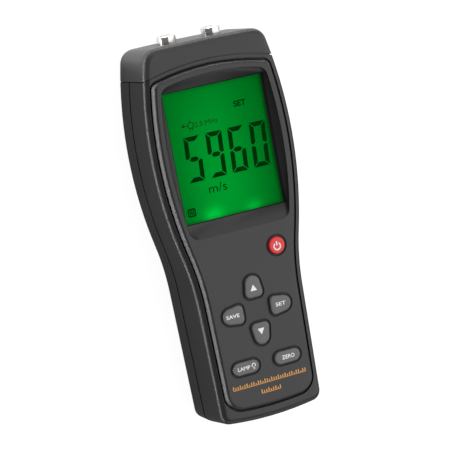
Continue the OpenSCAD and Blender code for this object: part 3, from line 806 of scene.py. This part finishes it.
@dataclass
class Sheet:
    """Flat artwork collected as faces in one plane, in millimetres.

    Attributes:
        z: Height of the plane.
        origin: Point of the plane that the artwork is drawn about.
        points: Corners so far.
        faces: Faces so far.
    """

    z: float
    origin: Point = (0.0, 0.0)
    points: list[tuple[float, float, float]] = field(default_factory=list)
    faces: list[list[int]] = field(default_factory=list)

    def polygon(self, outline: Sequence[Point]) -> None:
        """Add one filled outline.

        Args:
            outline: Its corners, anticlockwise.
        """
        first = len(self.points)
        for x, y in outline:
            self.points.append(((self.origin[0] + x) * MM, (self.origin[1] + y) * MM, self.z * MM))
        self.faces.append(list(range(first, len(self.points))))

    def box(self, middle: Point, size: Point) -> None:
        """Add a filled rectangle, by its middle and its width and height."""
        (x, y), (w, h) = middle, (size[0] / 2, size[1] / 2)
        self.polygon([(x - w, y - h), (x + w, y - h), (x + w, y + h), (x - w, y + h)])

    def line(self, path: Sequence[Point], width: float) -> None:
        """Add a stroke along a path.

        Args:
            path: Points of its middle line.
            width: Width of the stroke.
        """
        for (ax, ay), (bx, by) in zip(path, path[1:]):
            length = math.hypot(bx - ax, by - ay)
            nx, ny = (ay - by) / length * width / 2, (bx - ax) / length * width / 2
            near = [(ax - nx, ay - ny), (bx - nx, by - ny)]
            self.polygon(near + [(bx + nx, by + ny), (ax + nx, ay + ny)])

    def arc(
        self, middle: Point, radius: float, start: float, end: float, width: float, steps: int = 32
    ) -> None:
        """Add a stroke along an arc.

        Args:
            middle: Middle of the arc.
            radius: Its radius.
            start: First angle in degrees.
            end: Last angle in degrees.
            width: Width of the stroke.
            steps: Number of stretches.
        """
        x, y = middle
        turns = [math.radians(start + (end - start) * i / steps) for i in range(steps + 1)]
        inner, outer = radius - width / 2, radius + width / 2
        for a, b in zip(turns, turns[1:]):
            ring = [(inner, a), (outer, a), (outer, b), (inner, b)]
            self.polygon([(x + r * math.cos(t), y + r * math.sin(t)) for r, t in ring])

    def text(
        self,
        words: str,
        at: Point,
        height: float,
        width: float,
        align: Align = Align.CENTRE,
        weight: float = 0.0,
    ) -> None:
        """Add a line of plain lettering.

        Args:
            words: The words.
            at: Lower left corner or lower middle of the line.
            height: Height of a capital letter.
            width: Length of the line.
            align: Which of the two at means.
            weight: How far each stroke is thickened, in letter heights.
        """
        curve = bpy.data.curves.new("words", "FONT")
        curve.body = words
        curve.resolution_u = 3
        curve.offset = weight
        holder = bpy.data.objects.new("words", curve)
        mesh = bpy.data.meshes.new_from_object(holder)
        xs = [v.co.x for v in mesh.vertices]
        ys = [v.co.y for v in mesh.vertices]
        grow_x, grow_y = width / (max(xs) - min(xs)), height / max(ys)
        left = self.origin[0] + at[0] - (width / 2 if align is Align.CENTRE else 0.0)
        foot = self.origin[1] + at[1]
        first = len(self.points)
        for v in mesh.vertices:
            x = left + (v.co.x - min(xs)) * grow_x
            self.points.append((x * MM, (foot + v.co.y * grow_y) * MM, self.z * MM))
        self.faces += [[first + i for i in p.vertices] for p in mesh.polygons]
        bpy.data.objects.remove(holder)
        bpy.data.meshes.remove(mesh)

    def mesh(self, name: str) -> Mesh:
        """Make the mesh.

        Args:
            name: Name of the mesh.

        Returns:
            The mesh, facing up.
        """
        made = bpy.data.meshes.new(name)
        made.from_pydata(self.points, [], self.faces)
        made.update()
        if made.polygons and made.polygons[0].normal.z < 0:
            made.flip_normals()
        return made


def slab(name: str, low: Sequence[float], high: Sequence[float], edge: float) -> Mesh:
    """Make a box with chamfered upper edges.

    Args:
        name: Name of the mesh.
        low: Lowest corner in millimetres.
        high: Highest corner in millimetres.
        edge: Width of the chamfer in millimetres.

    Returns:
        The mesh, in metres.
    """
    rings = [(0.0, low[2]), (0.0, high[2] - edge), (edge, high[2])]
    points = []
    for inset, z in rings:
        x0, y0, x1, y1 = low[0] + inset, low[1] + inset, high[0] - inset, high[1] - inset
        points += [(x * MM, y * MM, z * MM) for x, y in ((x0, y0), (x1, y0), (x1, y1), (x0, y1))]
    faces = [[3, 2, 1, 0], [8, 9, 10, 11]]
    for k in (0, 4):
        faces += [[k + i, k + (i + 1) % 4, k + 4 + (i + 1) % 4, k + 4 + i] for i in range(4)]
    made = bpy.data.meshes.new(name)
    made.from_pydata(points, [], faces)
    return made


@dataclass
class Case:
    """Moulded shells, cap and battery door."""

    shell: Finish = Plastic("case_plastic", (0.010, 0.010, 0.0102), 0.36, relief=0.06)
    cap: Finish = Plastic("cap_plastic", (0.018, 0.018, 0.0182), 0.42, relief=0.12)

    def dress(self, shop: Workshop) -> None:
        """Finish the parts."""
        shop.dress(["rear_shell", "front_shell", "battery_door"], self.shell)
        shop.dress(["top_cap"], self.cap)


@dataclass
class Panel:
    """Raised front panel with its printed trace, measured in millimetres.

    Attributes:
        trace_rise: Distance from the panel's lower edge up to the long trace.
        trace_half: Half length of the long trace.
        peak: Height of its tallest tick.
        short_rise: Distance from the panel's lower edge up to the short trace.
        short_half: Half length of the short trace.
        pitch: Distance between two ticks.
        tick: Width of a tick.
        base: Width of the line that the ticks stand on.
        least: Share of the peak that the shortest tick has.
        beat: Turn of the wave from one tick to the next, in radians.
        line: Width of the dark line round the window, partly a printed border and partly painted
            shade.
        far_shade_line: Width of that line on the right, wider there as painted shade of the
            pocket's right wall.
        sharp: Edges of the panel sharper than this, in degrees, stay sharp.
    """

    trace_rise: float = 11.5
    trace_half: float = 18.8
    peak: float = 2.0
    short_rise: float = 6.8
    short_half: float = 4.8
    pitch: float = 1.15
    tick: float = 0.5
    base: float = 0.3
    least: float = 0.45
    beat: float = 1.1
    line: float = 0.5
    far_shade_line: float = 1.1
    sharp: float = 24.0
    plastic: Finish = PrintedAndShadedBorder("panel_plastic", (0.011, 0.011, 0.0112), 0.36, relief=0.03)
    orange: Finish = Ink("orange_ink", (0.85, 0.38, 0.075), 0.5)

    def build(self, shop: Workshop) -> None:
        """Print the two rows of ticks under the keys.

        Args:
            shop: Maker of materials.
        """
        low, high = span("front_panel")
        art = Sheet(high[2] + PRINT_T, (0.0, low[1]))
        rows = ((self.trace_half, self.trace_rise), (self.short_half, self.short_rise))
        for half, rise in rows:
            count = int(2 * half / self.pitch)
            for i in range(count + 1):
                x = -half + 2 * half * i / count
                level = self.least + (1 - self.least) * abs(math.cos(i * self.beat))
                art.box((x, rise + self.peak * level / 2), (self.tick, self.peak * level))
            art.box((0.0, rise), (2 * half, self.base))
        shop.piece("panel_trace", art.mesh("panel_trace"), self.orange, Body.CASE, Slot.PANEL)

    def dress(self, shop: Workshop) -> None:
        """Finish the panel.

        Args:
            shop: Maker of materials.
        """
        low, high = span("display_window")
        # The panel darkens round the window: a printed border, with painted shade at the foot of
        # the recess that is wider on the right.
        near, far = WINDOW_LAP - self.line, WINDOW_LAP - self.far_shade_line
        start, end = (low[0] + near, low[1] + near), (high[0] - far, high[1] - near)
        shop.dress(["front_panel"], replace(self.plastic, low=start, high=end), self.sharp)


@dataclass
class Keypad:
    """Rubber mat, seven keys and their legends, drawn about each key's middle.

    Attributes:
        weight: How far the strokes of the legends are thickened, in letter heights.
        sharp: Edges of the keys sharper than this, in degrees, stay sharp.
    """

    weight: float = 0.02
    sharp: float = 40.0
    mat: Finish = Plastic("mat_rubber", (0.0022, 0.0022, 0.0023), 0.6)
    grey: Finish = Plastic("grey_key", (0.132, 0.132, 0.136), 0.5, relief=0.05, mottle=0.1)
    red: Finish = Plastic("red_key", (0.8, 0.028, 0.028), 0.4, relief=0.05, mottle=0.1)
    white: Finish = Ink("white_ink", (0.95, 0.95, 0.95), 0.5)

    def power(self, art: Sheet) -> None:
        """Draw the sign of the power key."""
        art.arc((0.0, -0.45), 1.65, 125.0, 415.0, 0.62)
        art.box((0.0, 0.95), (0.62, 2.1))

    def lamp(self, art: Sheet) -> None:
        """Draw the word and the bulb of the light key.

        Args:
            art: Sheet of the key.
        """
        art.text("LAMP", (-4.4, -0.9), 1.75, 6.4, Align.LEFT, self.weight)
        art.arc((3.9, 0.4), 0.85, -50.0, 230.0, 0.4)
        art.box((3.9, -0.75), (0.95, 0.4))
        art.box((3.9, -1.4), (0.65, 0.35))

    def build(self, shop: Workshop) -> None:
        """Print all the legends.

        Args:
            shop: Maker of materials.
        """
        draws: dict[Body, Callable[[Sheet], None]] = {
            Body.POWER: self.power,
            Body.LIGHT: self.lamp,
            Body.UP: lambda art: art.polygon([(-1.65, -2.0), (1.75, -2.0), (0.05, 0.9)]),
            Body.DOWN: lambda art: art.polygon([(-1.65, 2.5), (0.05, -0.5), (1.75, 2.5)]),
            Body.LEFT: lambda art: art.text("SAVE", (-0.4, -0.9), 1.75, 6.8, weight=self.weight),
            Body.RIGHT: lambda art: art.text("SET", (-0.1, -0.8), 1.75, 5.2, weight=self.weight),
            Body.ZERO: lambda art: art.text("ZERO", (0.4, -0.9), 1.85, 6.6, weight=self.weight),
        }
        for body, draw in draws.items():
            key = body.value.removesuffix("_body")
            low, high = span(key)
            art = Sheet(high[2] + PRINT_T, ((low[0] + high[0]) / 2, (low[1] + high[1]) / 2))
            draw(art)
            name = key.replace("_key", "_legend")
            slot = Slot.RED_KEY if body is Body.POWER else Slot.GREY_KEY
            shop.piece(name, art.mesh(name), self.white, body, slot)

    def dress(self, shop: Workshop) -> None:
        """Finish the mat and the keys.

        Args:
            shop: Maker of materials.
        """
        shop.dress(["keypad_mat"], self.mat)
        for side in ("up", "down", "left", "right", "light", "zero"):
            shop.dress([f"{side}_key"], self.grey, self.sharp)
        shop.dress(["power_key"], self.red, self.sharp)


@dataclass
class Display:
    """Clear window, glowing cell and what the cell shows.

    All marks are drawn in millimetres from the middle of the visible lower edge.

    Attributes:
        digits: Segments that are dark in each digit, from the left.
        digit_x: Middle of the first digit.
        digit_pitch: Distance between two digits.
        digit_y: Distance from the visible lower edge up to the digits.
        digit_w: Width of a digit.
        digit_h: Height of a digit.
        stroke: Width of a segment.
        gap: Space between two segments.
        slant: Lean of the digits, in degrees.
        fine: Width of the faint lines.
        pane_edge: Chamfer of the window.
        cell_edge: Chamfer of the cell.
        cell_gap: Space between the cell and the window.
    """

    digits: tuple[str, ...] = ("acdfg", "abcdfg", "acdefg", "abcdef")
    digit_x: float = -14.6
    digit_pitch: float = 11.2
    digit_y: float = 18.5
    digit_w: float = 8.2
    digit_h: float = 21.3
    stroke: float = 2.2
    gap: float = 0.28
    slant: float = 3.0
    fine: float = 0.35
    pane_edge: float = 0.1
    cell_edge: float = 0.2
    cell_gap: float = 0.1
    glow: Finish = Glow(
        "display_glow",
        (0.0, 0.125, 0.01),
        0.3,
        lamps=(
            Lamp((-3.0, 14.0), (19.0, 50.0), 0.42),
            Lamp((-10.0, 0.0), (4.6, 4.6), 0.85),
            Lamp((10.5, 0.0), (4.0, 3.5), 0.55),
        ),
    )
    dark: Finish = Ink(
        "display_dark", (0.001, 0.018, 0.002), 0.4, light=(0.0, 0.016, 0.001), sheen=0.0
    )
    faint: Finish = Ink(
        "display_faint", (0.006, 0.03, 0.003), 0.4, light=(0.003, 0.02, 0.002), sheen=0.0
    )
    clear: Finish = Clear("window_glass", (0.01, 0.01, 0.01), 0.06)
    backing: Finish = Plastic("light_guide", (0.6, 0.75, 0.62), 0.3, coat=0.3)
    holder: Finish = Plastic("frame_plastic", (0.5, 0.49, 0.45), 0.5)
    strip: Finish = Plastic("strip_rubber", (0.26, 0.2, 0.32), 0.6)

    def segment(self, art: Sheet, kind: str, middle: float) -> None:
        """Draw one segment of a digit.

        Args:
            art: Sheet that it is drawn on.
            kind: Letter of the segment, from a at the top, clockwise, to g in the middle.
            middle: Middle of the digit.
        """
        w, h, s, g = self.digit_w / 2, self.digit_h / 2, self.stroke, self.gap
        top = [(-w + g, h), (w - g, h), (w - s - g, h - s), (-w + s + g, h - s)]
        # The pointed ends lie at these shares of the stroke
        side = [(w, h - g), (w, s * 0.3), (w - s * 0.5, g), (w - s, s * 0.6), (w - s, h - s - g)]
        tip, flat = w - s * 0.8, w - s * 1.3
        bar = [(-tip, 0.0), (-flat, s / 2), (flat, s / 2)]
        bar += [(-x, -y) for x, y in bar]
        shapes = {
            "a": top, "d": [(x, -y) for x, y in top], "g": bar,
            "b": side, "c": [(x, -y) for x, y in side],
            "f": [(-x, y) for x, y in side], "e": [(-x, -y) for x, y in side],
        }
        lean = math.tan(math.radians(self.slant))
        art.polygon([(middle + x + y * lean, self.digit_y + h + y) for x, y in shapes[kind]])

    def reading(self, art: Sheet) -> None:
        """Draw the dark reading, its unit and the word above it.

        Args:
            art: Sheet of the dark marks.
        """
        for i, lit in enumerate(self.digits):
            for kind in lit:
                self.segment(art, kind, self.digit_x + i * self.digit_pitch)
        art.text("SET", (12.8, 48.8), 2.7, 6.3, weight=0.03)
        art.text("m/s", (-10.2, 11.8), 4.2, 9.2, Align.LEFT)

    def probe(self, art: Sheet) -> None:
        """Draw the faint probe sign and its frequency.

        Args:
            art: Sheet of the faint marks.
        """
        art.text("2.5 MHz", (-11.2, 43.6), 2.2, 11.6, Align.LEFT)
        art.polygon([(-18.3, 45.0), (-16.4, 44.3), (-16.4, 45.7)])
        art.line([(-16.4, 45.0), (-14.6, 45.0)], self.fine)
        art.arc((-13.2, 44.8), 1.45, 0.0, 360.0, 0.4)
        art.line([(-13.2, 46.2), (-13.2, 47.2)], self.fine)
        for x in (-13.9, -12.5):
            art.line([(x, 43.6), (x, 42.0)], self.fine)

    def badge(self, art: Sheet) -> None:
        """Draw the sign of the full battery.

        Args:
            art: Sheet of the battery sign.
        """
        (x0, y0), (x1, y1) = (-22.4, 3.3), (-19.0, 6.6)
        art.line([(x0, y0), (x1, y0), (x1, y1), (x0, y1), (x0, y0)], 0.7)
        for x in (-21.5, -20.7, -19.9):
            art.box((x, 4.95), (0.5, 2.2))

    def build(self, shop: Workshop) -> None:
        """Build the cell, its marks and the window.

        Args:
            shop: Maker of materials.
        """
        low, high = span("display_window")
        foot = (0.0, low[1] + WINDOW_LAP)
        mesh = slab("window_pane", low, high, self.pane_edge)
        pane = shop.piece("window_pane", mesh, self.clear, Body.CASE, Slot.WINDOW)
        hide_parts("display_window")
        low, high = span("lcd_cell")
        high[2] -= self.cell_gap
        mesh, glow = slab("lcd_glass", low, high, self.cell_edge), replace(self.glow, foot=foot[1])
        cell = shop.piece("lcd_glass", mesh, glow, Body.CASE, Slot.DISPLAY)
        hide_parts("lcd_cell")
        sheets = (
            ("display_marks", self.reading, self.dark),
            ("display_faint", self.probe, self.faint),
            ("display_badge", self.badge, self.dark),
        )
        for name, draw, finish in sheets:
            art = Sheet(high[2] + PRINT_T, foot)
            draw(art)
            shop.piece(name, art.mesh(name), finish, Body.CASE, Slot.DISPLAY)

    def dress(self, shop: Workshop) -> None:
        """Finish the hidden parts of the display.

        Args:
            shop: Maker of materials.
        """
        shop.dress(["backlight"], self.backing)
        shop.dress(["display_frame"], self.holder)
        shop.dress(["contact_strip"], self.strip)


@dataclass
class Electronics:
    """Circuit board, what sits on it and the battery contacts.

    Attributes:
        sharp: Edges of the tinned parts sharper than this, in degrees, stay sharp.
    """

    sharp: float = 45.0
    board: Finish = Laminate("board_laminate", (0.012, 0.1, 0.03), 0.35)
    chip: Finish = Plastic("chip_plastic", (0.012, 0.012, 0.013), 0.5)
    core: Finish = Plastic("ferrite", (0.06, 0.055, 0.05), 0.7)
    can: Finish = Metal("tinned_steel", (0.62, 0.63, 0.64), 0.3)
    sleeve: Finish = Plastic("capacitor_sleeve", (0.015, 0.018, 0.09), 0.3, coat=0.4)

    def dress(self, shop: Workshop) -> None:
        """Finish the parts.

        Args:
            shop: Maker of materials.
        """
        shop.dress(["main_board"], self.board)
        shop.dress(["processor", "key_switches"], self.chip)
        shop.dress(["pulse_transformer"], self.core)
        shop.dress(["crystal", "battery_springs", "battery_plates"], self.can, self.sharp)
        shop.dress(["capacitors"], self.sleeve)


@dataclass
class Sockets:
    """Probe sockets with their nuts, insulators, contacts and leads.

    Attributes:
        sharp: Edges of the leads sharper than this, in degrees, stay sharp.
    """

    sharp: float = 60.0
    plating: Finish = Metal("nickel", (0.74, 0.72, 0.7), 0.12, tarnish=0.08)
    insulator: Finish = Plastic("insulator", (0.72, 0.7, 0.64), 0.5)
    gilt: Finish = Metal("gilt_brass", (0.78, 0.52, 0.16), 0.2)
    sleeve: Finish = Plastic("lead_sleeve", (0.07, 0.07, 0.072), 0.55)

    def dress(self, shop: Workshop) -> None:
        """Finish the parts.

        Args:
            shop: Maker of materials.
        """
        shop.dress(["left_socket", "right_socket", "socket_nuts"], self.plating)
        shop.dress(["socket_insulators"], self.insulator)
        shop.dress(["socket_contacts"], self.gilt)
        shop.dress(["left_lead", "right_lead"], self.sleeve, self.sharp)


@dataclass
class Battery:
    """Battery cells in their bay."""

    wrap: Finish = Wrap("cell_wrap", (0.5, 0.3, 0.06), 0.3)

    def dress(self, shop: Workshop) -> None:
        """Finish the cells."""
        shop.dress([f"battery_{i}" for i in range(1, 5)], self.wrap)


@dataclass
class Fasteners:
    """Screws of the case and of the board."""

    steel: Finish = Metal("screw_steel", (0.45, 0.46, 0.47), 0.32, tarnish=0.3)

    def dress(self, shop: Workshop) -> None:
        """Finish the screws."""
        shop.dress(["case_screws", "board_screws"], self.steel)


@dataclass(frozen=True)
class Softbox:
    """One soft light.

    Attributes:
        name: Name of the light.
        toward: Direction from the gauge to the light.
        far: Distance from the gauge in metres.
        size: Width and height in metres.
        radiance: Brightness of its face.
    """

    name: str
    toward: tuple[float, float, float]
    far: float
    size: Point
    radiance: float


@dataclass
class Studio:
    """Floor, lights and camera.

    Attributes:
        yaw: Turn of the gauge about its long axis, as the camera sees it.
        pitch: Tip of its top end away from the camera.
        roll: Turn of the picture.
        far: Distance of the camera from the panel, in millimetres.
        shift: Place of the panel's middle in the camera's frame, in millimetres.
        origin: Middle of the panel's measuring frame in the shared frame, in millimetres.
        focal: Focal length in picture widths.
        sensor: Width of the camera's sensor, in millimetres.
        reach: Distance that the camera sees, in metres.
        world: Strength of the surroundings where they aren't seen directly.
        half: Half width of the floor, in metres.
        drop: Space between the gauge and the floor, in millimetres.
        aim: Height that the lights are set about, in metres.
    """

    yaw: float = 21.5225
    pitch: float = 9.5559
    roll: float = 10.5957
    far: float = 903.16
    shift: Point = (1.8131, 5.3718)
    origin: tuple[float, float, float] = (0.0, 1.3, 37.0)
    focal: float = 1936.0 / 474.0
    sensor: float = 36.0
    reach: float = 50.0
    world: float = 0.22
    half: float = 6.0
    drop: float = 0.05
    aim: float = 0.02
    paper: Finish = Paper("studio_floor", (0.15, 0.15, 0.15), 0.7)
    lights: tuple[Softbox, ...] = (
        Softbox("front_right", (0.55, -0.1, 0.8), 1.7, (2.1, 2.1), 1.6),
        Softbox("left_strip", (-1.0, 0.0, -0.02), 0.19, (0.6, 0.028), 14.0),
        Softbox("top_strip", (0.0, 1.0, -0.015), 0.24, (0.4, 0.028), 8.0),
        Softbox("top_fill", (0.1, 1.0, 0.85), 1.4, (1.5, 0.8), 1.3),
        Softbox("right_strip", (1.0, 0.0, 0.2), 1.3, (1.4, 0.5), 1.2),
        Softbox("low_strip", (0.1, -1.0, 0.2), 1.3, (1.4, 0.5), 1.2),
    )

    def floor(self, shop: Workshop) -> None:
        """Lay the floor.

        Args:
            shop: Maker of materials.
        """
        mesh = bpy.data.meshes.new("studio_floor")
        corners = ((-1, -1), (1, -1), (1, 1), (-1, 1))
        points = [(x * self.half, y * self.half, -self.drop * MM) for x, y in corners]
        mesh.from_pydata(points, [], [[0, 1, 2, 3]])
        ground = bpy.data.objects.new("studio_floor", mesh)
        bpy.context.scene.collection.objects.link(ground)
        shop.coat(ground, self.paper)

    def light(self) -> None:
        """Set the soft lights and the dim surroundings."""
        for box in self.lights:
            lamp = bpy.data.lights.new(box.name, "AREA")
            lamp.shape = "RECTANGLE"
            lamp.size, lamp.size_y = box.size
            lamp.energy = math.pi * box.size[0] * box.size[1] * box.radiance
            holder = bpy.data.objects.new(box.name, lamp)
            toward = Vector(box.toward).normalized()
            holder.location = toward * box.far + Vector((0.0, 0.0, self.aim))
            holder.rotation_euler = toward.to_track_quat("Z", "Y").to_euler()
            bpy.context.scene.collection.objects.link(holder)
        world = bpy.data.worlds.new("studio")
        world.use_nodes = True
        w, back = Wiring(world.node_tree), world.node_tree.nodes["Background"]
        seen = w.seen(w.node("ShaderNodeLightPath"))
        w.put(back, {"Color": WHITE, "Strength": w.math("MAXIMUM", seen, self.world)})
        bpy.context.scene.world = world

    def camera(self) -> None:
        """Set the camera as the photo has it."""
        turn = (
            Matrix.Rotation(math.radians(self.roll), 3, "Z")
            @ Matrix.Rotation(math.radians(self.pitch), 3, "X")
            @ Matrix.Rotation(math.radians(self.yaw), 3, "Y")
        )
        away = Vector((-self.shift[0], -self.shift[1], self.far))
        eye = turn.transposed() @ away + Vector(self.origin)
        data = bpy.data.cameras.new("camera")
        data.sensor_width = self.sensor
        data.lens = self.sensor * self.focal
        data.clip_end = self.reach
        holder = bpy.data.objects.new("camera", data)
        holder.matrix_world = Matrix.Translation(eye * MM) @ turn.transposed().to_4x4()
        bpy.context.scene.collection.objects.link(holder)
        bpy.context.scene.camera = holder

    def build(self, shop: Workshop) -> None:
        """Set the whole studio.

        Args:
            shop: Maker of materials.
        """
        self.floor(shop)
        self.light()
        self.camera()
        bpy.context.scene.view_settings.view_transform = "Standard"


def main() -> None:
    """Build the looks in order."""
    logging.basicConfig(level=logging.INFO, format="%(name)s: %(message)s")
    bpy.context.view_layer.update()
    shop = Workshop()
    front = (Panel(), Keypad(), Display())
    for part in front:
        part.build(shop)
    for part in (Case(), *front, Electronics(), Sockets(), Battery(), Fasteners()):
        part.dress(shop)
    Studio().build(shop)
    bpy.context.view_layer.update()


if __name__ == "__main__":
    main()
